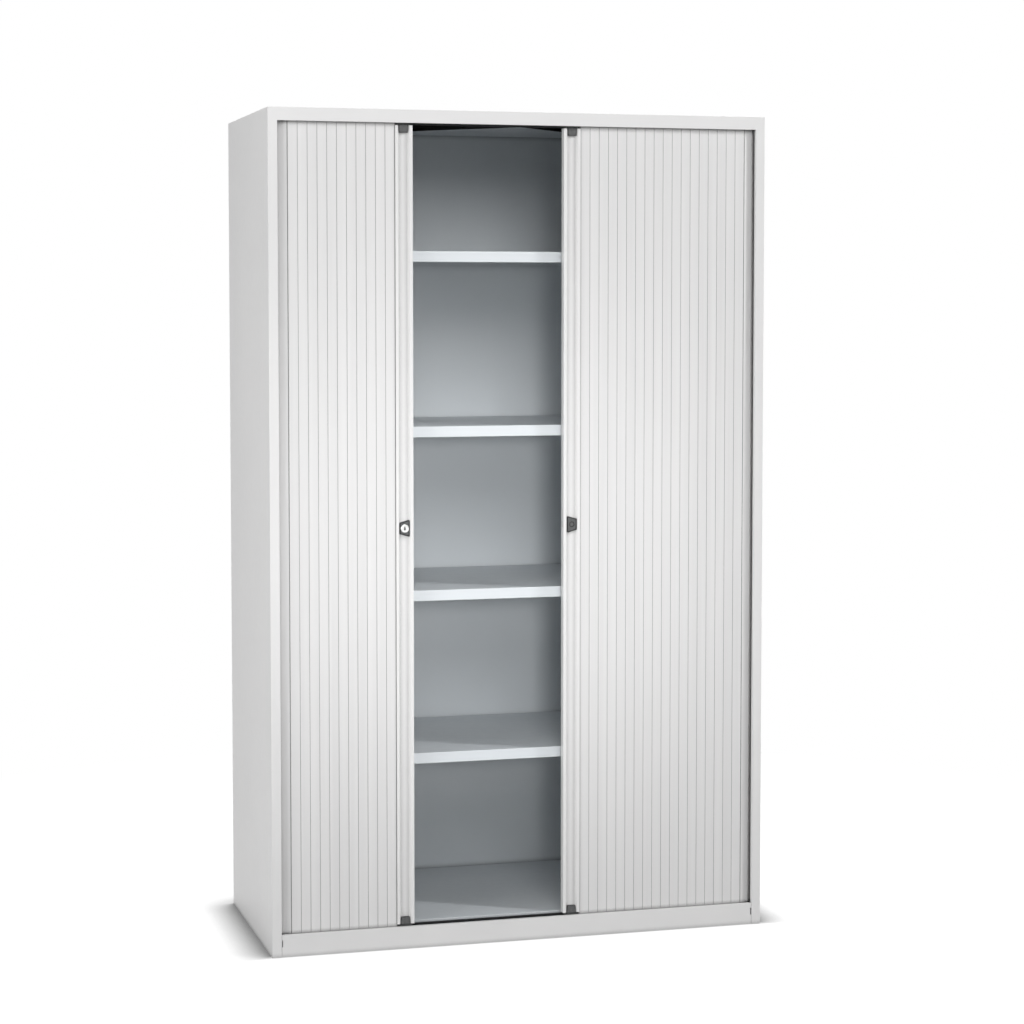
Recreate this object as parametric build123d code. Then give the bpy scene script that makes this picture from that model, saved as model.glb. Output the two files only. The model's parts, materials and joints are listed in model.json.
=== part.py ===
from build123d import *
import math
import os

# Roll front tool cabinet, in millimetres: X to the right, front towards -Y, Z up.
# The origin is on the floor under the middle of the cabinet.

# Driving dimensions of the carcase
width = 1200.0
depth = 550.0
height = 1950.0
sheet = 1.2
post_width = 22.0
post_return = 10.0
rail_height = 30.0
plinth_height = 52.0
plinth_clearance = 1.0
plinth_seam = 0.5
hook_slot_width = 2.4
hook_slot_height = 16.0
hook_slot_z = 24.0
rear_flange = 18.0
rail_lip = 8.0

# Curtain and its travel path
slat_pitch = 22.65
slat_thickness = 8.0
curtain_setback = 11.0
side_run_inset = 15.0
corner_radius = 31.0
meeting_x = 10.8
meeting_gap = 1.0
left_closing_count = 12
right_closing_count = 4

# Slat section: a bead at the trailing edge turns in a socket at the leading edge
face_gap = 0.8
face_plate = 0.9
bead_radius = 1.5
neck = 1.2
joint_clearance = 0.3
socket_wall = 1.0
shoulder = 3.2
chamber_wall = 1.2
mouth_margin = 3.0
bead_steps = 5
socket_steps = 5

# Guide tracks
track_wall = 1.2
track_floor = 2.0
groove_depth = 8.0
running_gap = 0.5
track_inner_lip = 4.0
inner_corner_room = 2.0

# Leading profiles, their shoes and the lock
lead_width = 42.0
lead_depth = 18.0
lead_wall = 1.6
lead_proud = 2.0
rim_width = 7.0
channel_depth = 7.0
channel_slope = 5.0
lead_back_lip = 7.0
lead_end_gap = 5.0
shoe_height = 17.0
shoe_foot = 23.0
shoe_head = 20.0
shoe_round = 2.0
shoe_recess = 0.8
shoe_fit = 0.15
tongue_thickness = 7.0
tongue_inset = 5.0
lock_tall = 40.0
lock_short = 26.0
lock_width = 24.0
lock_round = 2.5
lock_rim = 1.8
lock_rim_depth = 0.8
lock_recess = 0.5
cylinder_radius = 9.5
barrel_radius = 8.0
barrel_sides = 12
barrel_length = 8.0
cylinder_proud = 1.2
cylinder_head = 5.0
cylinder_clearance = 0.3
keyhole_top = 1.6
keyhole_width = 4.4
keyhole_foot = 2.2
keyhole_height = 8.8
keyhole_waist = 0.25
keyhole_depth = 4.0
cam_length = 13.0
cam_width = 7.0
cam_thickness = 1.5
bolt_tail_gap = 0.4
bolt_height = 12.0
bolt_thickness = 5.0
bolt_retracted = 0.6
bolt_clearance = 0.4
case_wall = 1.2
case_height = 46.0
strike_recess_radius = 6.5
strike_recess_depth = 1.6

# Interior
liner_clearance = 7.1
liner_setback = 40.0
liner_flange = 20.0
floor_tray_top = 60.0
floor_corner_step = 8.0
shelf_front_setback = 45.0
shelf_rear_gap = 10.6
shelf_side_gap = 0.6
shelf_edge = 25.0
shelf_lip = 12.0
slot_pitch = 24.0
first_slot_rise = 7.0
shelf_slots = (15, 31, 47, 64)
upright_width = 30.0
upright_depth = 8.0
upright_front_inset = 75.0
upright_rear_inset = 45.0
slot_width = 4.0
slot_height = 14.0
clip_reach = 16.0
clip_height = 40.0
clip_sheet = 1.5
clip_width = 24.0
hook_drop = 3.0
hook_height = 13.0
hook_fit = 0.3

# Base
gusset_size = 70.0
gusset_sheet = 3.0
nut_radius = 10.0
nut_sides = 6
nut_height = 13.0
thread_sides = 8
pad_sides = 12
stud_radius = 5.0
stud_clearance = 0.3
pad_radius = 20.0
pad_height = 6.0
leveller_side_inset = 70.0
leveller_end_inset = 60.0

# Rounds of the search for the next joint on the path
path_rounds = 30

# Places that follow from the driving dimensions
half_width = width / 2
front = -depth / 2
back = depth / 2
rail_bottom = height - rail_height
post_inner = half_width - post_width
half_slat = slat_thickness / 2
track_y = front + curtain_setback + half_slat
side_x = half_width - side_run_inset
corner_x = side_x - corner_radius
corner_y = track_y + corner_radius
track_outer = half_slat + running_gap + track_wall
ledge = curtain_setback + half_slat - track_outer
groove_outer = half_slat + running_gap
panel_back = back - sheet
back_inner = panel_back - sheet
groove_low = plinth_height - groove_depth
base_top = groove_low - track_floor
groove_high = rail_bottom + groove_depth
ceiling_z = groove_high + track_floor
slat_low = groove_low + running_gap
slat_high = groove_high - running_gap - joint_clearance
lead_low = plinth_height + lead_end_gap
lead_high = rail_bottom - lead_end_gap
lock_z = (lead_low + lead_high) / 2
liner_face = side_x - track_outer - liner_clearance - sheet
floor_half = liner_face + sheet + shelf_side_gap
upright_face = liner_face - upright_depth
shelf_half = upright_face - shelf_side_gap
upright_front_y = front + upright_front_inset
upright_rear_y = back - upright_rear_inset
first_slot_z = floor_tray_top + first_slot_rise
slot_range = (shelf_slots[0] - 1, shelf_slots[-1] + 1)
leveller_x = half_width - leveller_side_inset
leveller_y = back - leveller_end_inset
inner_corner_radius = corner_radius + inner_corner_room
floor_corner_radius = inner_corner_radius - floor_corner_step
turn_per_slat = 2 * math.degrees(math.asin(slat_pitch / 2 / corner_radius))
closed_run = corner_x + abs(meeting_x) - lead_width
slats_round_corner = math.ceil(corner_radius * math.pi / 2 / slat_pitch)
slat_count = int(closed_run // slat_pitch) + slats_round_corner

# Depths and widths of a leading profile: X from its trailing joint, the path at Y = 0
lead_face = -half_slat - lead_proud
lead_back = lead_face + lead_depth
channel_floor = lead_face + channel_depth
lead_middle = lead_width / 2
left_edge = meeting_x - meeting_gap / 2 - left_closing_count * slat_pitch
right_edge = meeting_x + meeting_gap / 2 + right_closing_count * slat_pitch


def block(x, y, z):
    """Box between a low and a high value on each axis."""
    low = (x[0], y[0], z[0])
    size = (x[1] - x[0], y[1] - y[0], z[1] - z[0])
    return Pos(*low) * Box(*size, align=(Align.MIN, Align.MIN, Align.MIN))


def prism(face, z_low, z_high):
    """A plan outline raised between two heights."""
    return Pos(0, 0, z_low) * extrude(face, z_high - z_low, dir=(0, 0, 1))


def polygon(points):
    return Polygon(*points, align=None)


def round_points(centre, radius, start, end, steps):
    """Points on a circle from one angle to another, both ends included."""
    turn = [math.radians(start + (end - start) * i / steps) for i in range(steps + 1)]
    return [(centre + radius * math.cos(t), radius * math.sin(t)) for t in turn]


def mirrored(shape):
    return mirror(shape, about=Plane.YZ)


def both_sides(shape):
    return Compound([shape, mirrored(shape)])


# Carcase


def front_frame():
    """Two posts and a top rail, with lips returned into the cabinet round the opening."""
    lip = post_inner + sheet
    face = block((-half_width, half_width), (front, front + sheet), (0, height))
    opening = block((-post_inner, post_inner), (front, front + sheet), (0, rail_bottom))
    ledge_lip = block((-lip, lip), (front, front + ledge), (rail_bottom, rail_bottom + sheet))
    back_lip = block(
        (-lip, lip), (front + ledge - sheet, front + ledge), (rail_bottom, rail_bottom + rail_lip)
    )
    post_lip = block((-lip, -post_inner), (front, front + post_return), (0, rail_bottom + sheet))
    return face - opening + ledge_lip + back_lip + post_lip + mirrored(post_lip)


def side_panel():
    """Left side sheet with its rear edge folded in."""
    side = block((-half_width, sheet - half_width), (front + sheet, back), (0, height))
    flange = block((-half_width, rear_flange - half_width), (panel_back, back), (0, height))
    return side + flange


def inner_sheet(y_low, y_high, z_low):
    """A level sheet between the side panels."""
    reach = half_width - sheet
    return block((-reach, reach), (y_low, y_high), (z_low, z_low + sheet))


def back_panel():
    reach = half_width - sheet
    return block((-reach, reach), (back_inner, panel_back), (0, height - sheet))


def front_plinth():
    """Plinth face with a ledge and a lip at its top, and a hook slot in each end."""
    reach = post_inner - plinth_seam
    face = block((-reach, reach), (front, front + sheet), (plinth_clearance, plinth_height))
    top = block((-reach, reach), (front, front + ledge), (plinth_height - sheet, plinth_height))
    lip = block(
        (-reach, reach), (front + ledge - sheet, front + ledge), (groove_low, plinth_height)
    )
    slot = block(
        (-reach, hook_slot_width - reach),
        (front, front + sheet),
        (hook_slot_z, hook_slot_z + hook_slot_height),
    )
    return face + top + lip - slot - mirrored(slot)


def floor_tray():
    """Cabinet floor, a tray turned over, with its front corners rounded past the tracks."""
    y_low = track_y + lead_back + 2 * running_gap
    corners = [
        (-floor_half, back_inner - running_gap),
        (-floor_half, y_low),
        (floor_half, y_low),
        (floor_half, back_inner - running_gap),
    ]
    radii = [0, floor_corner_radius, floor_corner_radius, 0]
    plan = make_face(FilletPolyline(*corners, radius=radii, close=True))
    inside = offset(plan, amount=-sheet, kind=Kind.INTERSECTION)
    tray = prism(plan, base_top, floor_tray_top)
    return tray - prism(inside, base_top, floor_tray_top - sheet)


def liner():
    """Left inner side sheet with a flange at its front edge."""
    x_low = -liner_face - sheet
    y_low = front + liner_setback
    z = (floor_tray_top, ceiling_z)
    side = block((x_low, -liner_face), (y_low, back_inner), z)
    flange = block((x_low, liner_flange - liner_face), (y_low, y_low + sheet), z)
    return side + flange


def upright_slots(y):
    """The row of slots through one upright's web."""
    row = []
    for index in range(*slot_range):
        z = first_slot_z + index * slot_pitch
        row.append(
            block(
                (-upright_face - sheet, -upright_face),
                (y - slot_width / 2, y + slot_width / 2),
                (z - slot_height, z),
            )
        )
    return row


def upright(y):
    """Slotted channel, open towards the liner it is fixed to."""
    y_range = (y - upright_width / 2, y + upright_width / 2)
    z = (floor_tray_top, ceiling_z)
    channel = block((-liner_face, -upright_face), y_range, z)
    hollow = block(
        (-liner_face, -upright_face - sheet), (y_range[0] + sheet, y_range[1] - sheet), z
    )
    return channel - hollow - upright_slots(y)


def shelf(z_top):
    """Folded tray shelf with a deep front edge turned back underneath."""
    y_low = front + shelf_front_setback
    y_high = back_inner - shelf_rear_gap
    z_low = z_top - shelf_edge
    body = block((-shelf_half, shelf_half), (y_low, y_high), (z_low, z_top))
    reach = shelf_half - sheet
    hollow = block((-reach, reach), (y_low + sheet, y_high - sheet), (z_low, z_top - sheet))
    lip = block((-reach, reach), (y_low + sheet, y_low + shelf_lip), (z_low, z_low + sheet))
    return body - hollow + lip


def shelf_clip(y, z_seat):
    """Bracket that hooks into two slots of a left upright and carries a shelf on its tongue."""
    y_range = (y - clip_width / 2, y + clip_width / 2)
    plate = block(
        (-upright_face, clip_sheet - upright_face), y_range, (z_seat - clip_height, z_seat)
    )
    tongue = block(
        (-upright_face, clip_reach - upright_face), y_range, (z_seat - clip_sheet, z_seat)
    )
    hook_y = (y - slot_width / 2 + hook_fit, y + slot_width / 2 - hook_fit)
    clip = plate + tongue
    root_x = -upright_face - sheet - hook_fit
    for top in (z_seat, z_seat - slot_pitch):
        clip += block((root_x, -upright_face), hook_y, (top - hook_height, top - hook_drop))
    barb_z = (z_seat - slot_height - hook_drop, z_seat - hook_drop)
    return clip + block((root_x - clip_sheet, root_x), hook_y, barb_z)


def shelf_clips():
    clips = []
    for index in shelf_slots:
        z_seat = first_slot_z + index * slot_pitch
        for y in (upright_front_y, upright_rear_y):
            clip = shelf_clip(y, z_seat)
            clips += [clip, mirrored(clip)]
    return Compound(clips)


def at_base_corners(shape):
    """Copies of a shape at the four places where the cabinet stands on a leveller."""
    return Compound(
        [Pos(x, y, 0) * shape for x in (-leveller_x, leveller_x) for y in (-leveller_y, leveller_y)]
    )


def gusset():
    """Corner bracket under the base, with a weld nut for the leveller's stud."""
    z_top = base_top - sheet
    half = gusset_size / 2
    plate = block((-half, half), (-half, half), (z_top - gusset_sheet, z_top))
    z = (z_top - nut_height, z_top)
    nut = prism(RegularPolygon(nut_radius, nut_sides), *z)
    return plate + nut - prism(RegularPolygon(stud_radius + stud_clearance, thread_sides), *z)


def leveller():
    """Screw foot: a pad on the floor and its stud."""
    pad = prism(RegularPolygon(pad_radius, pad_sides), 0, pad_height)
    stud = RegularPolygon(stud_radius, thread_sides)
    return pad + prism(stud, pad_height, base_top - sheet - stud_clearance)


# Curtain path and guide tracks, for the left door


def on_path(distance):
    """Place on the track's centre line, measured back from the middle of the cabinet's front."""
    if distance <= corner_x:
        return (-distance, track_y)
    turned = (distance - corner_x) / corner_radius
    if turned <= math.pi / 2:
        x = -corner_x - corner_radius * math.sin(turned)
        return (x, corner_y - corner_radius * math.cos(turned))
    return (-side_x, corner_y + distance - corner_x - corner_radius * math.pi / 2)


def next_joint(distance):
    """Place on the path of the joint one slat further back than the given one."""
    further = distance + slat_pitch
    for _ in range(path_rounds):
        chord = math.dist(on_path(distance), on_path(further))
        further += slat_pitch - chord
    return further


def curtain_joints(lead_edge):
    """Joints of a left curtain from its leading profile back, for a leading edge at this X."""
    joints = [lead_width - lead_edge]
    for _ in range(slat_count):
        joints.append(next_joint(joints[-1]))
    return [on_path(distance) for distance in joints]


def track_band(outer, inner, inner_radius, y_end):
    """Plan of the strip between two offsets from the path: outward and inward of it."""
    corners = [
        (0, track_y - outer),
        (-side_x - outer, track_y - outer),
        (-side_x - outer, y_end),
        (inner - side_x, y_end),
        (inner - side_x, track_y + inner),
        (0, track_y + inner),
    ]
    radii = [0, corner_radius + outer, 0, 0, inner_radius, 0]
    return make_face(FilletPolyline(*corners, radius=radii, close=True))


def lower_left_track():
    """U channel with its groove round the corner; the inner wall stands above the plinth."""
    y_end = back_inner - running_gap
    inner_radius = inner_corner_radius - track_wall
    base = track_band(track_outer, track_outer, inner_radius, y_end)
    groove = track_band(groove_outer, groove_outer, inner_corner_radius, y_end)
    outer_part = track_band(track_outer, groove_outer, inner_corner_radius, y_end)
    channel = prism(base, base_top, plinth_height + track_inner_lip)
    channel -= prism(groove, groove_low, plinth_height + track_inner_lip)
    return channel - prism(outer_part, plinth_height, plinth_height + track_inner_lip)


def upper_left_track():
    """The lower track turned over, at the height of the top rail."""
    middle = Plane.XY.offset((base_top + ceiling_z) / 2)
    return mirror(lower_left_track(), about=middle)


# Slats


def slat_section():
    """Section of one slat: trailing bead at the origin, socket one pitch ahead, face at -Y."""
    neck_angle = math.degrees(math.asin(neck / 2 / bead_radius))
    socket_inner = bead_radius + joint_clearance
    socket_outer = socket_inner + socket_wall
    mouth_half = math.degrees(math.asin(neck / 2 / socket_inner)) + mouth_margin
    face_end = slat_pitch - face_gap / 2
    plate_angle = -math.degrees(math.acos(-face_gap / 2 / socket_outer))
    mouth_end = turn_per_slat + mouth_half
    heel = slat_pitch - shoulder
    points = [(face_gap / 2, -half_slat), (face_end, -half_slat)]
    points += round_points(slat_pitch, socket_outer, plate_angle, -mouth_half, 1)
    points += round_points(slat_pitch, socket_inner, -mouth_half, mouth_end - 360, socket_steps)
    turn = math.radians(mouth_end)
    mouth_tip = (slat_pitch + socket_outer * math.cos(turn), socket_outer * math.sin(turn))
    points += [mouth_tip, (heel, half_slat), (shoulder, half_slat), (shoulder, neck / 2)]
    points += round_points(0, bead_radius, neck_angle, 360 - neck_angle, bead_steps)
    points += [(shoulder, -neck / 2), (shoulder, face_plate - half_slat)]
    points += [(face_gap / 2, face_plate - half_slat)]
    chamber = polygon(
        [
            (shoulder + chamber_wall, chamber_wall - half_slat),
            (slat_pitch - socket_outer - chamber_wall, chamber_wall - half_slat),
            (slat_pitch - socket_outer - chamber_wall, half_slat - chamber_wall),
            (shoulder + chamber_wall, half_slat - chamber_wall),
        ]
    )
    return polygon(points) - chamber


def slats(joints, first, last):
    """The slats of a left curtain from one number up to another, each a separate solid."""
    one = prism(slat_section(), slat_low, slat_high)
    pieces = []
    for lead, trail in zip(joints[first:last], joints[first + 1 : last + 1]):
        heading = math.degrees(math.atan2(lead[1] - trail[1], lead[0] - trail[0]))
        pieces.append(Pos(trail[0], trail[1], 0) * Rot(0, 0, heading) * one)
    return Compound(pieces)


def front_slat_count(joints):
    """How many slats lie on the straight front run."""
    return sum(1 for x, y in joints[1:] if x >= -corner_x)


def corner_slat_count(joints):
    """How many slats have an end on the corner's arc."""
    on_side = sum(1 for x, y in joints[1:] if y > corner_y)
    return slat_count - front_slat_count(joints) - on_side + 1


# Leading profile, shoes and lock, for the left door: X from the trailing joint, face at -Y


def channel_plan(gap, face_y):
    """Plan of the grip channel's hollow, drawn in by a gap, from a depth to the floor."""
    slope = channel_slope / channel_depth
    rim_x = rim_width + slope * (face_y - lead_face) + gap
    floor_x = rim_width + channel_slope + gap
    return [
        (rim_x, face_y),
        (floor_x, channel_floor),
        (lead_width - floor_x, channel_floor),
        (lead_width - rim_x, face_y),
    ]


def lead_section():
    """Open-backed profile with a sloped grip channel in its face and a bead behind."""
    rim = channel_plan(0, lead_face)
    lip_back = lead_face + lead_wall
    outline = [(face_gap, lead_face)] + rim + [(lead_width, lead_face), (lead_width, lead_back)]
    outline += [(shoulder, lead_back), (shoulder, lip_back), (face_gap, lip_back)]
    shell = polygon(outline)
    box = [(shoulder, lead_face)] + rim + [(lead_width, lead_face), (lead_width, lead_back)]
    box += [(shoulder, lead_back)]
    hollow = offset(polygon(box), amount=-lead_wall, kind=Kind.INTERSECTION)
    mouth_low = shoulder + lead_back_lip
    mouth_high = lead_width - lead_back_lip
    mouth = polygon(
        [
            (mouth_low, lead_back - lead_wall),
            (mouth_high, lead_back - lead_wall),
            (mouth_high, lead_back),
            (mouth_low, lead_back),
        ]
    )
    bead = polygon(round_points(0, bead_radius, 0, 360, bead_steps)[:-1])
    stem = polygon([(0, -neck / 2), (shoulder, -neck / 2), (shoulder, neck / 2), (0, neck / 2)])
    return shell - hollow - mouth + bead + stem


def lead_profile(holes):
    profile = prism(lead_section(), lead_low, lead_high)
    return profile - holes


def bolt_hole():
    """Slot through the leading wall that the bolt passes."""
    half = bolt_height / 2 + bolt_clearance
    low = channel_floor + lead_wall
    return block(
        (lead_width - lead_wall, lead_width),
        (low, low + bolt_thickness + 2 * bolt_clearance),
        (lock_z - half, lock_z + half),
    )


def on_lock_axis(outline, y_low, y_high):
    """An outline raised along the lock's axis between two depths."""
    back = Pos(lead_middle, y_high, lock_z) * Rot(90, 0, 0)
    return back * extrude(outline, y_high - y_low, dir=(0, 0, 1))


def barrel_hole(y_low, y_high):
    """Hole for the lock's threaded barrel, which is drawn with flats."""
    outline = RegularPolygon(barrel_radius + cylinder_clearance, barrel_sides, major_radius=False)
    return on_lock_axis(outline, y_low, y_high)


def shoe_outline():
    """Front outline of a lower shoe about its foot, narrower at its rounded head."""
    head = [(shoe_head / 2, shoe_height), (-shoe_head / 2, shoe_height)]
    low = -track_wall
    outline = polygon([(-shoe_foot / 2, low), (shoe_foot / 2, low)] + head)
    return fillet(outline.vertices().group_by(Axis.Y)[-1], shoe_round)


def shoe():
    """Guide shoe at the lower end: a tapered block in the channel and a tongue in the groove."""
    plan = polygon(channel_plan(shoe_fit, lead_face + shoe_recess))
    front_view = Pos(lead_middle, 0, lead_low) * (Plane.XZ * shoe_outline())
    block_part = prism(plan, 0, lock_z) & extrude(front_view, lead_depth, both=True)
    tongue = block(
        (tongue_inset, lead_width - tongue_inset),
        (-tongue_thickness / 2, tongue_thickness / 2),
        (slat_low, lead_low),
    )
    return block_part + tongue


def upper(shape):
    """A lower fitting turned over, for the same fitting at the top."""
    return mirror(shape, about=Plane.XY.offset((base_top + ceiling_z) / 2))


def housing_blank():
    """Rounded housing, tall on the leading side, its face sunk inside a narrow rim."""
    outline = polygon(
        [
            (-lock_width / 2, -lock_short / 2),
            (lock_width / 2, -lock_tall / 2),
            (lock_width / 2, lock_tall / 2),
            (-lock_width / 2, lock_short / 2),
        ]
    )
    face = lead_face + lock_recess
    body = on_lock_axis(fillet(outline.vertices(), lock_round), face, channel_floor)
    sunk = offset(outline, amount=-lock_rim, kind=Kind.INTERSECTION)
    channel = prism(polygon(channel_plan(shoe_fit, face)), 0, height)
    return (body & channel) - on_lock_axis(sunk, face, face + lock_rim_depth)


def lock_housing():
    seat = Circle(cylinder_radius + cylinder_clearance)
    return housing_blank() - on_lock_axis(seat, lead_face, channel_floor)


def strike_housing():
    """Blank twin of the lock's housing, with a shallow round recess."""
    recess_floor = lead_face + lock_recess + strike_recess_depth
    return housing_blank() - on_lock_axis(Circle(strike_recess_radius), lead_face, recess_floor)


def keyhole_outline():
    """Keyway about the lock's axis, a drop that is widest near its lower end."""
    half = keyhole_height / 2
    right = [
        (keyhole_foot / 2, -half),
        (keyhole_width / 2, keyhole_waist * keyhole_height - half),
        (keyhole_top / 2, half),
    ]
    return polygon(right + [(-x, y) for x, y in reversed(right)])


def lock_cylinder():
    """Lock cylinder with its keyway, barrel and cam."""
    head_front = lead_face - cylinder_proud
    head_back = head_front + cylinder_head
    barrel_back = channel_floor + barrel_length
    head = on_lock_axis(Circle(cylinder_radius), head_front, head_back)
    barrel = on_lock_axis(RegularPolygon(barrel_radius, barrel_sides), head_back, barrel_back)
    keyhole = on_lock_axis(keyhole_outline(), head_front, head_front + keyhole_depth)
    cam = block(
        (lead_middle - cam_width / 2, lead_middle + cam_width / 2),
        (barrel_back, barrel_back + cam_thickness),
        (lock_z - cam_width / 2, lock_z + cam_length),
    )
    return head + barrel - keyhole + cam


def lock_bolt():
    low = channel_floor + lead_wall + bolt_clearance
    return block(
        (lead_middle + barrel_radius + bolt_tail_gap, lead_width - bolt_retracted),
        (low, low + bolt_thickness),
        (lock_z - bolt_height / 2, lock_z + bolt_height / 2),
    )


def lock_case():
    """Case behind the channel that holds the barrel and guides the bolt."""
    low = channel_floor + lead_wall
    y_high = channel_floor + barrel_length - running_gap
    x_high = lead_width - lead_wall - running_gap
    x_low = lead_middle - barrel_radius - cylinder_clearance - case_wall
    half = bolt_height / 2 + bolt_clearance
    case = block(
        (x_low, x_high), (low, y_high), (lock_z - case_height / 2, lock_z + case_height / 2)
    )
    guide = block((lead_middle, x_high), (low, y_high), (lock_z - half, lock_z + half))
    return case - guide - barrel_hole(low, y_high)


def at_left_lead(shape):
    return Pos(left_edge - lead_width, track_y, 0) * shape


def at_right_lead(shape):
    return mirrored(Pos(-right_edge - lead_width, track_y, 0) * shape)


def carcase_parts():
    y_low = front + sheet
    parts = {
        "front_frame": front_frame(),
        "left_side_panel": side_panel(),
        "right_side_panel": mirrored(side_panel()),
        "top_panel": inner_sheet(y_low, panel_back, height - sheet),
        "ceiling_panel": inner_sheet(front + ledge, back_inner, ceiling_z),
        "back_panel": back_panel(),
        "base_panel": inner_sheet(front + post_return, back_inner, base_top - sheet),
        "front_plinth": front_plinth(),
        "floor_tray": floor_tray(),
        "left_liner": liner(),
        "right_liner": mirrored(liner()),
        "shelf_uprights": both_sides(
            Compound([upright(upright_front_y), upright(upright_rear_y)])
        ),
        "shelf_clips": shelf_clips(),
        "base_gussets": at_base_corners(gusset()),
        "levellers": at_base_corners(leveller()),
        "lower_left_track": lower_left_track(),
        "lower_right_track": mirrored(lower_left_track()),
        "upper_left_track": upper_left_track(),
        "upper_right_track": mirrored(upper_left_track()),
    }
    for number, index in enumerate(shelf_slots, start=1):
        parts[f"shelf_{number}"] = shelf(first_slot_z + index * slot_pitch + shelf_edge)
    return parts


def curtain_parts(side, lead_edge, to_close, place):
    """Slat groups of one curtain, by how they move when the door closes."""
    joints = curtain_joints(lead_edge)
    corner_start = front_slat_count(joints)
    turning_start = corner_start + corner_slat_count(joints)
    turning_end = turning_start + to_close
    parts = {
        f"{side}_front_slats": place(slats(joints, 0, corner_start)),
        f"{side}_corner_slats": place(slats(joints, corner_start, turning_start)),
        f"{side}_turning_slats": place(slats(joints, turning_start, turning_end)),
    }
    if turning_end < slat_count:
        parts[f"{side}_tail_slat"] = place(slats(joints, turning_end, slat_count))
    return parts


def door_parts():
    parts = curtain_parts("left", left_edge, left_closing_count, lambda shape: shape)
    parts.update(curtain_parts("right", -right_edge, right_closing_count, mirrored))
    floor_hole = barrel_hole(channel_floor, channel_floor + lead_wall)
    parts["left_lead_profile"] = at_left_lead(lead_profile([bolt_hole(), floor_hole]))
    parts["right_lead_profile"] = at_right_lead(lead_profile([bolt_hole()]))
    parts["left_lower_shoe"] = at_left_lead(shoe())
    parts["left_upper_shoe"] = at_left_lead(upper(shoe()))
    parts["right_lower_shoe"] = at_right_lead(shoe())
    parts["right_upper_shoe"] = at_right_lead(upper(shoe()))
    parts["lock_housing"] = at_left_lead(lock_housing())
    parts["lock_case"] = at_left_lead(lock_case())
    parts["lock_cylinder"] = at_left_lead(lock_cylinder())
    parts["lock_bolt"] = at_left_lead(lock_bolt())
    parts["strike_housing"] = at_right_lead(strike_housing())
    return parts


os.makedirs("parts", exist_ok=True)
for node, shape in {**carcase_parts(), **door_parts()}.items():
    export_step(shape, f"parts/{node}.step")
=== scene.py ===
import json
import math

import bmesh
import bpy
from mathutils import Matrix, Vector


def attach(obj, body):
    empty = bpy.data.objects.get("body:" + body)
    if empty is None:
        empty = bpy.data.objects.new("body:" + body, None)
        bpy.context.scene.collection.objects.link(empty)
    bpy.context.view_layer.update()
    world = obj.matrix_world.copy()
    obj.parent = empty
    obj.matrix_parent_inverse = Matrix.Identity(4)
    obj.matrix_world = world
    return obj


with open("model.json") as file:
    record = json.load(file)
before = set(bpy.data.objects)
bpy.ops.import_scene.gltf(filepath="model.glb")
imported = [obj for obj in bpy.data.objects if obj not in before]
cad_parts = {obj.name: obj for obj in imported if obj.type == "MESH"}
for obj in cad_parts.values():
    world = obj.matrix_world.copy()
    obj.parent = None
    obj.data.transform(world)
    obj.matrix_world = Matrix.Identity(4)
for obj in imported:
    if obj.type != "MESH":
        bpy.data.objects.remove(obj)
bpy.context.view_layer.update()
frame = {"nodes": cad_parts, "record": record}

# Roll front tool cabinet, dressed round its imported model. Metres, front towards -Y, Z up.

scene = bpy.context.scene
nodes = frame["nodes"]

# Camera: its place, how far it turns to the right and looks down, and its framing
CAMERA_PLACE = (-1.596, -5.854, 1.502)
CAMERA_TURN = 15.71
CAMERA_DROP = 3.58
CAMERA_LENS = 87.3
CAMERA_SENSOR = 36.0
CAMERA_SHIFT = -0.05

# Studio: even light, floor with its contact shadow, and lamps in watts
WHITE = (1.0, 1.0, 1.0, 1.0)
WORLD_LIGHT = 0.2
FLOOR_HALF = 30.0
FLOOR_DROP = 0.0002
FLOOR_COLOUR = 0.56
FLOOR_GLOW = 0.85
FLOOR_SEEN_COLOUR = 0.3
CONTACT_REACH = 0.1
CONTACT_OPEN = (0.5, 1.0)
CONTACT_SHADE = 0.2
CONTACT_FRONT = (-0.285, -0.245)
FLOOR_FADE = (1.0, 2.4)
LAMPS = {
    "front_fill": {"at": (-0.6, -4.4, 3.6), "aim": (0.0, 0.0, 1.4), "size": 2.2, "power": 77.0},
    "right_fill": {"at": (4.2, -2.9, 4.6), "aim": (0.0, 0.0, 0.9), "size": 0.5, "power": 138.0},
    "left_fill": {"at": (-4.2, -2.2, 1.6), "aim": (-0.6, 0.0, 1.0), "size": 2.4, "power": 74.0},
    "back_fill": {"at": (0.8, 5.0, 2.6), "aim": (0.0, 0.0, 1.0), "size": 2.4, "power": 115.0},
    "top_fill": {"at": (0.0, 0.9, 4.6), "aim": (0.0, 0.1, 1.9), "size": 2.0, "power": 26.0},
}
SPOTS = {
    "key": {"at": (-0.9, -5.0, 1.45), "aim": (-0.02, 0.0, 0.90), "power": 285.0},
}
SPOT_CONE = 20.0
SPOT_RADIUS = 0.35

# Finishes, as linear colours
STEEL_LIGHT = (0.812, 0.808, 0.806)
STEEL_DARK = (0.778, 0.775, 0.775)
STEEL_WORN = (0.900, 0.898, 0.895)
# Inside steel: the same coat as outside, with a painted cool cast of the light inside
INSIDE_LIGHT_PAINTED_CAST = (0.775, 0.812, 0.838)
INSIDE_DARK_PAINTED_CAST = (0.735, 0.775, 0.803)
# Painted shade on the top faces inside
TOPS_PAINTED_SHADE = 0.84
SLAT_LIGHT = (0.785, 0.781, 0.780)
SLAT_DARK = (0.748, 0.744, 0.744)
LEAD_LIGHT = (0.828, 0.824, 0.822)
LEAD_DARK = (0.800, 0.797, 0.796)
PLASTIC_LIGHT = (0.128, 0.130, 0.130)
PLASTIC_DARK = (0.098, 0.100, 0.101)
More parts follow.
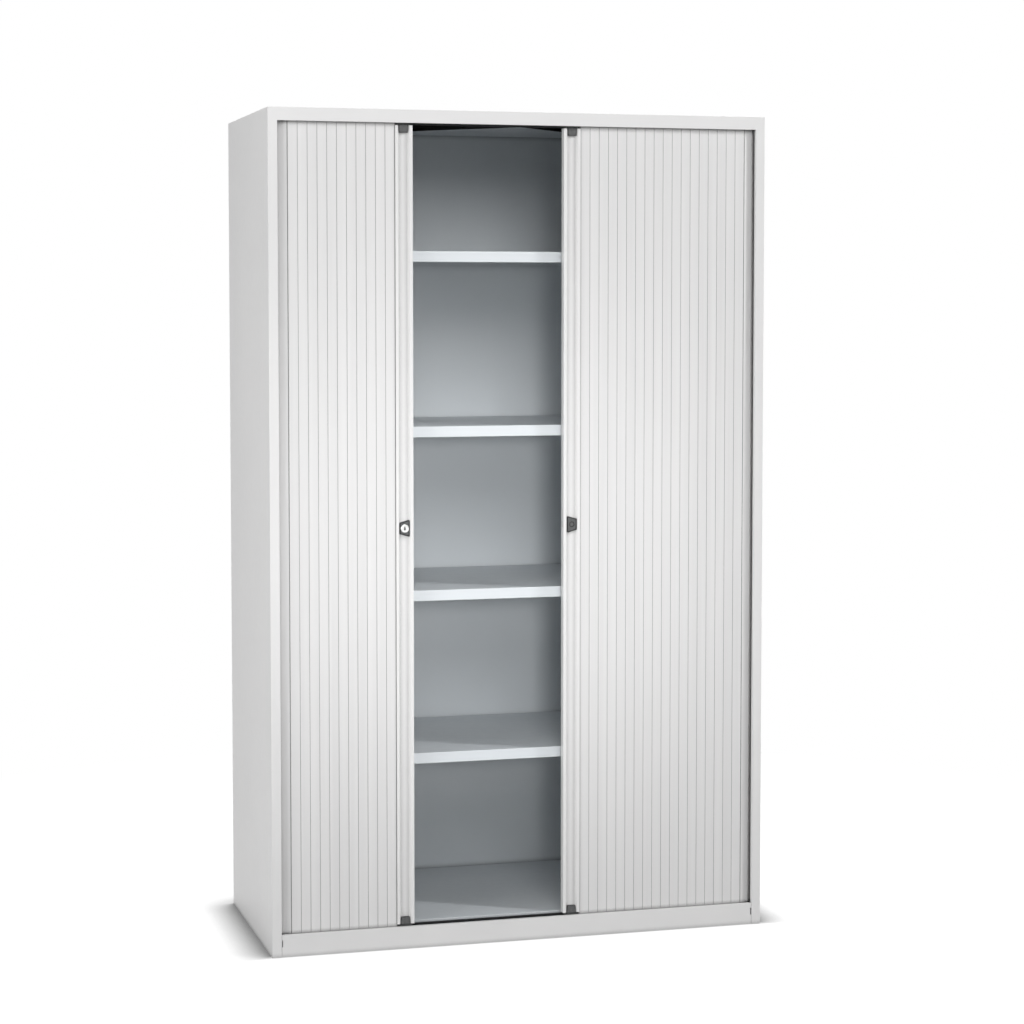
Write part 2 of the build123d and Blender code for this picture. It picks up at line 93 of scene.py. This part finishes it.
# Painted shade: near black on the edges and proud rims of the moulded plastic
PLASTIC_EDGE_PAINTED_SHADE = (0.010, 0.010, 0.011)
TRACK_LIGHT = (0.030, 0.031, 0.032)
TRACK_DARK = (0.016, 0.017, 0.018)
ZINC_LIGHT = (0.70, 0.71, 0.72)
ZINC_DARK = (0.52, 0.54, 0.56)
NICKEL_LIGHT = (0.90, 0.90, 0.89)
NICKEL_DARK = tuple(0.93 * part for part in NICKEL_LIGHT)

# Masks of the finishes: range of a noise that counts, most that an edge is worn, open sky over a recess,
# and the cosines of flat faces and of faces along an axis
NOISE_MIDDLE = (0.3, 0.7)
MOST_WORN = 0.6
OPEN_SKY = 0.95
FLAT_FACE = 0.985
FACING_AXIS = (0.7, 0.95)
RAY_SAMPLES = 4

# Edge radii by material slot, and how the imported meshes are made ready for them
EDGES = {
    "light_grey_steel": 0.0005,
    "curtain_plastic": 0.0004,
    "lead_aluminium": 0.0006,
    "dark_plastic": 0.0010,
    "chrome": 0.0005,
    "zinc_steel": 0.0005,
}
EDGE_SEGMENTS = 2
WELD_DISTANCE = 0.00002
BORED = ("lock_housing", "strike_housing", "lock_cylinder", "lock_case")
FLAT_ANGLE = math.radians(1.0)
EDGE_ANGLE = math.radians(28.0)

# Nodes whose finish differs from that of their material slot
INSIDE = (
    "back_panel", "ceiling_panel", "floor_tray", "left_liner", "right_liner", "shelf_uprights",
    "shelf_1", "shelf_2", "shelf_3", "shelf_4",
)
TRACKS = ("lower_left_track", "lower_right_track", "upper_left_track", "upper_right_track")
HOUSINGS = ("lock_housing", "strike_housing")
OWN_FINISH = {
    # the inside finish carries a painted cool cast and painted shade on its top faces
    **dict.fromkeys(INSIDE, "inside_steel_painted_light"),
    **dict.fromkeys(TRACKS, "track_plastic"),
    **dict.fromkeys(HOUSINGS, "housing_plastic"),
}
HOUSING_STEP = (-0.2653, -0.2649)

# Lock face: its axis and the front of its head, its bead, and its plug with the keyway, finely turned
LOCK_X = -0.2825
LOCK_Z = 0.986
HEAD_FRONT = -0.2672
HEAD_RING = (
    (0.0093, 0.0), (0.0093, 0.0003), (0.0090, 0.0006),
    (0.0086, 0.0006), (0.0083, 0.0003), (0.0083, 0.0),
)
PLUG_RADIUS = 0.0064
PLUG_PROUD = 0.0004
PLUG_CHAMFER = 0.0003
KEYWAY = (
    (0.0011, -0.0044), (0.0022, -0.0022), (0.0008, 0.0044),
    (-0.0008, 0.0044), (-0.0022, -0.0022), (-0.0011, -0.0044),
)
PARALLEL = 1e-12
LATHE_STEPS = 72
TURNING_PITCH = 0.0004

# Catch ring in the strike's recess
STRIKE_X = 0.1229
STRIKE_FLOOR = -0.2639
STRIKE_RING = (
    (0.0064, 0.0), (0.0064, 0.0006), (0.0061, 0.0008),
    (0.0053, 0.0008), (0.0050, 0.0005), (0.0050, 0.0),
)


def material(name, roughness, metallic=0.0, specular=0.5):
    """A new material with its node tree and its shader."""
    made = bpy.data.materials.new(name)
    made.use_nodes = True
    shader = made.node_tree.nodes["Principled BSDF"]
    shader.inputs["Roughness"].default_value = roughness
    shader.inputs["Metallic"].default_value = metallic
    shader.inputs["Specular IOR Level"].default_value = specular
    return made, made.node_tree, shader


def node(tree, kind, **values):
    """A node with some of its inputs set by name."""
    made = tree.nodes.new(kind)
    for name, value in values.items():
        made.inputs[name.replace("_", " ")].default_value = value
    return made


def grain(tree, size, stretch=(1.0, 1.0, 1.0), detail=2.0):
    """Noise fixed to the object, with grains of about a size in metres."""
    place = node(tree, "ShaderNodeTexCoord")
    scale = node(tree, "ShaderNodeMapping")
    scale.inputs["Scale"].default_value = tuple(1.0 / (size * s) for s in stretch)
    noise = node(tree, "ShaderNodeTexNoise", Scale=1.0, Detail=detail)
    tree.links.new(place.outputs["Object"], scale.inputs["Vector"])
    tree.links.new(scale.outputs["Vector"], noise.inputs["Vector"])
    return noise.outputs["Fac"]


def turning(tree, pitch):
    """Rings round the lock's axis, as a lathe leaves them."""
    place = node(tree, "ShaderNodeTexCoord")
    centre = node(tree, "ShaderNodeMapping")
    centre.inputs["Location"].default_value = (-LOCK_X, 0.0, -LOCK_Z)
    centre.inputs["Scale"].default_value = (1.0, 0.0, 1.0)
    reach = tree.nodes.new("ShaderNodeVectorMath")
    reach.operation = "LENGTH"
    noise = node(tree, "ShaderNodeTexNoise", Scale=1.0 / pitch, Detail=1.0)
    noise.noise_dimensions = "1D"
    tree.links.new(place.outputs["Object"], centre.inputs["Vector"])
    tree.links.new(centre.outputs["Vector"], reach.inputs[0])
    tree.links.new(reach.outputs["Value"], noise.inputs["W"])
    return noise.outputs["Fac"]


def ramp(tree, value, source, target):
    """A value mapped from one range to another, and kept inside it."""
    made = node(tree, "ShaderNodeMapRange")
    for name, bound in zip(("From Min", "From Max", "To Min", "To Max"), (*source, *target)):
        made.inputs[name].default_value = bound
    tree.links.new(value, made.inputs["Value"])
    return made.outputs["Result"]


def mottle(tree, size, low=0.0, high=1.0, **kind):
    """Grains of about a size in metres, which run between two values."""
    return ramp(tree, grain(tree, size, **kind), NOISE_MIDDLE, (low, high))


def combine(tree, operation, first, second):
    """Two values joined by a sum, product or the like."""
    made = tree.nodes.new("ShaderNodeMath")
    made.operation = operation
    tree.links.new(first, made.inputs[0])
    tree.links.new(second, made.inputs[1])
    return made.outputs["Value"]


def blend(tree, factor, first, second, kind="MIX"):
    """A colour between two, each a link or written out, by a factor."""
    made = tree.nodes.new("ShaderNodeMix")
    made.data_type = "RGBA"
    made.blend_type = kind
    for name, value in (("Factor", factor), ("A", first), ("B", second)):
        if isinstance(value, bpy.types.NodeSocket):
            tree.links.new(value, made.inputs[name])
        elif name == "Factor":
            made.inputs[name].default_value = value
        else:
            made.inputs[name].default_value = (*value, 1.0)
    return made.outputs["Result"]


def shaded(tree, colour, shade):
    """A colour made darker by a factor."""
    return blend(tree, 1.0, colour, shade, "MULTIPLY")


def recess(tree, colour, reach, shade, deepest=0.3, own=False):
    """Painted shade: a colour darker, down to a shade, in a narrow recess, of the piece alone or among its
    neighbours.
    """
    near = node(tree, "ShaderNodeAmbientOcclusion", Distance=reach)
    near.samples = RAY_SAMPLES
    near.only_local = own
    return shaded(tree, colour, ramp(tree, near.outputs["AO"], (deepest, OPEN_SKY), (shade, 1.0)))


def edge_mask(tree, radius, turned=0.80):
    """1 along the edges, fading to 0 at a radius from them."""
    rounded = node(tree, "ShaderNodeBevel", Radius=radius)
    rounded.samples = RAY_SAMPLES
    surface = tree.nodes.new("ShaderNodeNewGeometry")
    match = tree.nodes.new("ShaderNodeVectorMath")
    match.operation = "DOT_PRODUCT"
    tree.links.new(rounded.outputs["Normal"], match.inputs[0])
    tree.links.new(surface.outputs["True Normal"], match.inputs[1])
    return ramp(tree, match.outputs["Value"], (turned, FLAT_FACE), (1.0, 0.0))


def rub_edges(tree, coat, radius, patch):
    """A coat worn pale along its edges, in patches of about a size."""
    worn = combine(tree, "MULTIPLY", edge_mask(tree, radius), mottle(tree, patch, high=MOST_WORN))
    return blend(tree, worn, coat, STEEL_WORN)


def facing(tree, axis, other, along):
    """One value on faces that look along an axis, and another on the rest."""
    surface = tree.nodes.new("ShaderNodeNewGeometry")
    split = tree.nodes.new("ShaderNodeSeparateXYZ")
    tree.links.new(surface.outputs["True Normal"], split.inputs["Vector"])
    return ramp(tree, split.outputs[axis], FACING_AXIS, (other, along))


def sunk_mask(tree, front, back):
    """0 in front of one place along Y and 1 behind another, fixed to the object."""
    place = node(tree, "ShaderNodeTexCoord")
    split = tree.nodes.new("ShaderNodeSeparateXYZ")
    tree.links.new(place.outputs["Object"], split.inputs["Vector"])
    return ramp(tree, split.outputs["Y"], (front, back), (0.0, 1.0))


def set_colour(tree, shader, colour):
    """Colour of a surface."""
    tree.links.new(colour, shader.inputs["Base Color"])


def set_roughness(tree, shader, size, low, high, **kind):
    """Roughness that runs between two values in grains of about a size."""
    tree.links.new(mottle(tree, size, low, high, **kind), shader.inputs["Roughness"])


def set_relief(tree, shader, height, depth, strength):
    """Fine relief of a surface, of a depth in metres."""
    made = node(tree, "ShaderNodeBump", Strength=strength, Distance=depth)
    tree.links.new(height, made.inputs["Height"])
    tree.links.new(made.outputs["Normal"], shader.inputs["Normal"])


def powder_coat(name, dark, light, inside=False):
    """Powder coat on sheet steel: satin, with orange peel, handling marks, rubbed edges, and painted shade
    in its corners and narrow gaps.

    Inside, the top faces carry painted shade, and the cabinet's back is as its outside.
    """
    made, tree, shader = material(name, roughness=0.42)
    cloud = mottle(tree, size=0.35)
    coat = blend(tree, cloud, dark, light)
    if inside:
        outside = blend(tree, cloud, STEEL_DARK, STEEL_LIGHT)
        coat = blend(tree, facing(tree, "Y", other=0.0, along=1.0), coat, outside)
        # painted shade: the top faces inside are darker
        coat = shaded(tree, coat, facing(tree, "Z", other=1.0, along=TOPS_PAINTED_SHADE))
    coat = rub_edges(tree, coat, radius=0.0014, patch=0.012)
    # painted shade: the coat darker in corners and narrow gaps
    set_colour(tree, shader, recess(tree, coat, reach=0.012, shade=0.45))
    set_roughness(tree, shader, size=0.02, low=0.36, high=0.48, detail=4.0)
    set_relief(tree, shader, grain(tree, size=0.0016), depth=0.00006, strength=0.5)
    return made


def slat_plastic():
    """Satin extruded plastic, with faint lines along the extrusion and painted shade in its joints and
    narrow gaps.
    """
    made, tree, shader = material("light_grey_slat_plastic", roughness=0.5)
    coat = blend(tree, mottle(tree, size=0.04, stretch=(0.4, 0.4, 30.0)), SLAT_DARK, SLAT_LIGHT)
    # painted shade in the joints and beside the posts
    set_colour(tree, shader, recess(tree, coat, reach=0.010, shade=0.2))
    set_roughness(tree, shader, size=0.003, low=0.44, high=0.56, stretch=(1.0, 1.0, 60.0))
    lines = grain(tree, size=0.0012, stretch=(1.0, 1.0, 200.0))
    set_relief(tree, shader, lines, depth=0.00004, strength=0.5)
    return made


def lead_coat():
    """Coated extrusion of the leading profiles, rubbed along its edges, with painted shade in its channel's
    corners.
    """
    made, tree, shader = material("light_grey_profile_coat", roughness=0.36)
    coat = blend(tree, mottle(tree, size=0.05, stretch=(1.0, 1.0, 12.0)), LEAD_DARK, LEAD_LIGHT)
    coat = rub_edges(tree, coat, radius=0.0012, patch=0.02)
    # painted shade in the channel's corners
    set_colour(tree, shader, recess(tree, coat, reach=0.012, shade=0.2, own=True))
    set_roughness(tree, shader, size=0.004, low=0.30, high=0.42, stretch=(1.0, 1.0, 80.0))
    lines = grain(tree, size=0.0015, stretch=(1.0, 1.0, 150.0))
    set_relief(tree, shader, lines, depth=0.00003, strength=0.4)
    return made


def moulded_plastic(name, sunk_face):
    """Dark grey moulded plastic with spark-eroded faces; its edges, or its proud rim, carry painted shade
    near black.
    """
    made, tree, shader = material(name, roughness=0.5, specular=0.25)
    face = blend(tree, mottle(tree, size=0.006), PLASTIC_DARK, PLASTIC_LIGHT)
    # painted shade: the proud rim of a housing, or the edges of another piece, near black
    if sunk_face:
        face = blend(tree, sunk_mask(tree, *HOUSING_STEP), PLASTIC_EDGE_PAINTED_SHADE, face)
    else:
        face = blend(tree, edge_mask(tree, radius=0.0030, turned=0.97), face, PLASTIC_EDGE_PAINTED_SHADE)
    # painted shade in narrow recesses
    set_colour(tree, shader, recess(tree, face, reach=0.003, shade=0.3))
    set_roughness(tree, shader, size=0.004, low=0.42, high=0.6)
    set_relief(tree, shader, grain(tree, size=0.0005, detail=3.0), depth=0.00005, strength=0.6)
    return made


def track_plastic():
    """Near black sliding plastic of the tracks, polished in streaks where the curtains run."""
    made, tree, shader = material("black_track_plastic", roughness=0.4, specular=0.2)
    streaks = mottle(tree, size=0.004, stretch=(40.0, 1.0, 1.0))
    set_colour(tree, shader, blend(tree, streaks, TRACK_DARK, TRACK_LIGHT))
    set_roughness(tree, shader, size=0.01, low=0.34, high=0.5)
    set_relief(tree, shader, grain(tree, size=0.0006), depth=0.00004, strength=0.5)
    return made


def zinc_plate():
    """Zinc plated steel with a soft mottle, and painted shade in its corners."""
    made, tree, shader = material("zinc_plated_steel", roughness=0.38, metallic=1.0)
    plate = blend(tree, mottle(tree, size=0.008, detail=4.0), ZINC_DARK, ZINC_LIGHT)
    # painted shade in the corners
    set_colour(tree, shader, recess(tree, plate, reach=0.004, shade=0.4))
    set_roughness(tree, shader, size=0.003, low=0.3, high=0.46)
    set_relief(tree, shader, grain(tree, size=0.0009), depth=0.00002, strength=0.4)
    return made


def turned_nickel():
    """Bright nickel plate of the lock, finely turned, with painted shade down its keyway."""
    made, tree, shader = material("turned_nickel", roughness=0.2, metallic=1.0)
    rings = turning(tree, TURNING_PITCH)
    plate = blend(tree, ramp(tree, rings, NOISE_MIDDLE, (0.0, 1.0)), NICKEL_DARK, NICKEL_LIGHT)
    # painted shade down the keyway
    set_colour(tree, shader, recess(tree, plate, reach=0.004, shade=0.01, deepest=0.5, own=True))
    set_roughness(tree, shader, size=0.0015, low=0.16, high=0.28)
    set_relief(tree, shader, rings, depth=0.00001, strength=0.3)
    return made


# By material slot, or by the name of an own finish
FINISHES = {
    "light_grey_steel": powder_coat("light_grey_powder_coat", STEEL_DARK, STEEL_LIGHT),
    # painted light: the inside coat takes a cool cast, and painted shade on its top faces
    "inside_steel_painted_light": powder_coat("inside_powder_coat_painted_light", INSIDE_DARK_PAINTED_CAST, INSIDE_LIGHT_PAINTED_CAST, inside=True),
    "curtain_plastic": slat_plastic(),
    "lead_aluminium": lead_coat(),
    "dark_plastic": moulded_plastic("dark_grey_moulded_plastic", sunk_face=False),
    "housing_plastic": moulded_plastic("dark_grey_housing_plastic", sunk_face=True),
    "track_plastic": track_plastic(),
    "chrome": turned_nickel(),
    "zinc_steel": zinc_plate(),
}


def paint(piece, finish):
    """Gives a piece one finish on all its faces."""
    piece.data.materials.clear()
    piece.data.materials.append(FINISHES[finish])


def round_edges(piece, radius, bored):
    """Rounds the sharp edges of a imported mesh, whose flat faces are joined where no bore is."""
    weld = piece.modifiers.new("weld", "WELD")
    weld.merge_threshold = WELD_DISTANCE
    if not bored:
        flatten = piece.modifiers.new("flatten", "DECIMATE")
        flatten.decimate_type = "DISSOLVE"
        flatten.angle_limit = FLAT_ANGLE
    bevel = piece.modifiers.new("round", "BEVEL")
    bevel.width = radius
    bevel.segments = EDGE_SEGMENTS
    bevel.limit_method = "ANGLE"
    bevel.angle_limit = EDGE_ANGLE
    bevel.harden_normals = True


def dress_cad():
    """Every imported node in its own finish, with its edges rounded."""
    for part in frame["record"]["subparts"]:
        name, slot = part["node"], part["material_slot"]
        paint(nodes[name], OWN_FINISH.get(name, slot))
        round_edges(nodes[name], EDGES[slot], name in BORED)


def add_piece(name, mesh, body, slot):
    """A new piece of the model, which rides on a body and takes its finish from a slot."""
    piece = bpy.data.objects.new(name, mesh)
    scene.collection.objects.link(piece)
    paint(piece, slot)
    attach(piece, body)


def closed_mesh(name, shell):
    """A mesh from a bmesh, with its faces turned outwards."""
    bmesh.ops.recalc_face_normals(shell, faces=shell.faces)
    mesh = bpy.data.meshes.new(name)
    shell.to_mesh(mesh)
    shell.free()
    return mesh


def closed_loops(name, loops):
    """A closed mesh from points in loops, each joined to the next and the last to the first."""
    shell = bmesh.new()
    rings = [[shell.verts.new(point) for point in loop] for loop in loops]
    for ring, following in zip(rings, rings[1:] + rings[:1]):
        for i in range(len(ring)):
            j = (i + 1) % len(ring)
            shell.faces.new((ring[i], ring[j], following[j], following[i]))
    return closed_mesh(name, shell)


def lathe_angles():
    """The directions of a lathe's steps, each as its part across and its part up."""
    angles = (math.tau * step / LATHE_STEPS for step in range(LATHE_STEPS))
    return [(math.cos(angle), math.sin(angle)) for angle in angles]


def turned_ring(name, centre_x, seat, section, body, slot):
    """A ring turned about an axis along Y at the lock's height, which stands on a seat."""
    loops = [
        [(centre_x + r * across, seat - proud, LOCK_Z + r * up) for r, proud in section]
        for across, up in lathe_angles()
    ]
    mesh = closed_loops(name, loops)
    mesh.shade_smooth()
    add_piece(name, mesh, body, slot)


def keyway_point(across, up):
    """Where a ray from the lock's axis leaves the keyway's outline."""
    for (x0, z0), (x1, z1) in zip(KEYWAY, KEYWAY[1:] + KEYWAY[:1]):
        turn = across * (z1 - z0) - up * (x1 - x0)
        if abs(turn) < PARALLEL:
            continue
        reach = (x0 * (z1 - z0) - z0 * (x1 - x0)) / turn
        along = (x0 * up - z0 * across) / turn
        if reach > 0 and 0 <= along <= 1:
            return reach * across, reach * up
    raise ValueError("the keyway isn't closed")


def plug_face():
    """Face of the lock's plug, a chamfered disc round the keyway."""
    inset = PLUG_RADIUS - PLUG_CHAMFER
    loops = []
    for across, up in lathe_angles():
        inner = keyway_point(across, up)
        section = [
            (*inner, 0.0),
            (*inner, PLUG_PROUD),
            (inset * across, inset * up, PLUG_PROUD),
            (PLUG_RADIUS * across, PLUG_RADIUS * up, PLUG_PROUD - PLUG_CHAMFER),
            (PLUG_RADIUS * across, PLUG_RADIUS * up, 0.0),
        ]
        loops.append([(LOCK_X + x, HEAD_FRONT - proud, LOCK_Z + z) for x, z, proud in section])
    add_piece("lock_plug_face", closed_loops("lock_plug_face", loops), "lock_cylinder", "chrome")


def shader_mix(tree, factor, first, second):
    """Runs from one shader, or black where it is None, to another by a factor."""
    made = tree.nodes.new("ShaderNodeMixShader")
    tree.links.new(factor, made.inputs["Fac"])
    if first:
        tree.links.new(first, made.inputs[1])
    tree.links.new(second, made.inputs[2])
    return made.outputs["Shader"]


def seen_mix(tree, lit, seen):
    """One shader where the camera, a gloss or glass looks, and another for plain light."""
    rays = tree.nodes.new("ShaderNodeLightPath")
    looks = rays.outputs["Is Camera Ray"]
    for name in ("Is Glossy Ray", "Is Transmission Ray"):
        looks = combine(tree, "MAXIMUM", looks, rays.outputs[name])
    return shader_mix(tree, looks, lit, seen)


def make_world():
    """A white room to look at, and a soft even light from all round."""
    world = bpy.data.worlds.new("studio")
    scene.world = world
    world.use_nodes = True
    tree = world.node_tree
    tree.nodes.clear()
    light = node(tree, "ShaderNodeBackground", Color=WHITE, Strength=WORLD_LIGHT)
    white = node(tree, "ShaderNodeBackground", Color=WHITE, Strength=1.0)
    out = tree.nodes.new("ShaderNodeOutputWorld")
    shade = seen_mix(tree, light.outputs["Background"], white.outputs["Background"])
    tree.links.new(shade, out.inputs["Surface"])


def grey_matt(tree, grey):
    """A matt grey surface."""
    return node(tree, "ShaderNodeBsdfDiffuse", Color=(grey, grey, grey, 1.0)).outputs["BSDF"]


def floor_seen(tree):
    """The floor as it looks: white, with a contact shadow at the cabinet's sides and back."""
    place = tree.nodes.new("ShaderNodeNewGeometry").outputs["Position"]
    split = tree.nodes.new("ShaderNodeSeparateXYZ")
    tree.links.new(place, split.inputs["Vector"])
    near = node(tree, "ShaderNodeAmbientOcclusion", Distance=CONTACT_REACH)
    shade = ramp(tree, near.outputs["AO"], CONTACT_OPEN, (CONTACT_SHADE, 1.0))
    in_front = ramp(tree, split.outputs["Y"], CONTACT_FRONT, (1.0, 0.0))
    glow = node(tree, "ShaderNodeEmission", Strength=FLOOR_GLOW)
    lit = tree.nodes.new("ShaderNodeAddShader")
    tree.links.new(glow.outputs["Emission"], lit.inputs[0])
    tree.links.new(grey_matt(tree, FLOOR_SEEN_COLOUR), lit.inputs[1])
    near_floor = shader_mix(tree, combine(tree, "MAXIMUM", shade, in_front), None, lit.outputs["Shader"])
    distance = tree.nodes.new("ShaderNodeVectorMath")
    distance.operation = "LENGTH"
    tree.links.new(place, distance.inputs[0])
    far = ramp(tree, distance.outputs["Value"], FLOOR_FADE, (0.0, 1.0))
    white = node(tree, "ShaderNodeEmission", Strength=1.0)
    return shader_mix(tree, far, near_floor, white.outputs["Emission"])


def floor_finish():
    """Pale floor for the light that falls on it, and a white one to look at."""
    made = bpy.data.materials.new("pale_floor")
    made.use_nodes = True
    tree = made.node_tree
    tree.nodes.clear()
    out = tree.nodes.new("ShaderNodeOutputMaterial")
    mixed = seen_mix(tree, grey_matt(tree, FLOOR_COLOUR), floor_seen(tree))
    tree.links.new(mixed, out.inputs["Surface"])
    return made


def make_floor():
    """A wide flat floor just under the cabinet."""
    mesh = bpy.data.meshes.new("floor")
    half, z = FLOOR_HALF, -FLOOR_DROP
    corners = [(-half, -half, z), (half, -half, z), (half, half, z), (-half, half, z)]
    mesh.from_pydata(corners, [], [(0, 1, 2, 3)])
    floor = bpy.data.objects.new("floor", mesh)
    scene.collection.objects.link(floor)
    mesh.materials.append(floor_finish())


def aim_lamp(data, at, aim):
    """Puts a lamp in place, looking at a point."""
    lamp = bpy.data.objects.new(data.name, data)
    lamp.location = at
    lamp.rotation_euler = (Vector(aim) - Vector(at)).to_track_quat("-Z", "Y").to_euler()
    scene.collection.objects.link(lamp)


def make_lamp(name, at, aim, size, power):
    """A square soft light."""
    data = bpy.data.lights.new(name, "AREA")
    data.shape = "SQUARE"
    data.size = size
    data.energy = power
    aim_lamp(data, at, aim)


def make_spot(name, at, aim, power):
    """A soft spot from the front, which lights the compartments."""
    data = bpy.data.lights.new(name, "SPOT")
    data.energy = power
    data.spot_size = math.radians(SPOT_CONE)
    data.spot_blend = 1.0
    data.shadow_soft_size = SPOT_RADIUS
    aim_lamp(data, at, aim)


def make_camera():
    """The photograph's camera."""
    data = bpy.data.cameras.new("camera")
    data.lens = CAMERA_LENS
    data.sensor_width = CAMERA_SENSOR
    data.shift_y = CAMERA_SHIFT
    camera = bpy.data.objects.new("camera", data)
    camera.location = CAMERA_PLACE
    camera.rotation_euler = (math.radians(90.0 - CAMERA_DROP), 0.0, math.radians(-CAMERA_TURN))
    scene.collection.objects.link(camera)
    scene.camera = camera


scene.view_settings.view_transform = "Standard"
dress_cad()
turned_ring("lock_face_ring", LOCK_X, HEAD_FRONT, HEAD_RING, "lock_cylinder", "chrome")
turned_ring("strike_ring", STRIKE_X, STRIKE_FLOOR, STRIKE_RING, "right_door", "dark_plastic")
plug_face()
make_world()
make_floor()
for lamp_name, lamp_facts in LAMPS.items():
    make_lamp(lamp_name, **lamp_facts)
for spot_name, spot_facts in SPOTS.items():
    make_spot(spot_name, **spot_facts)
make_camera()
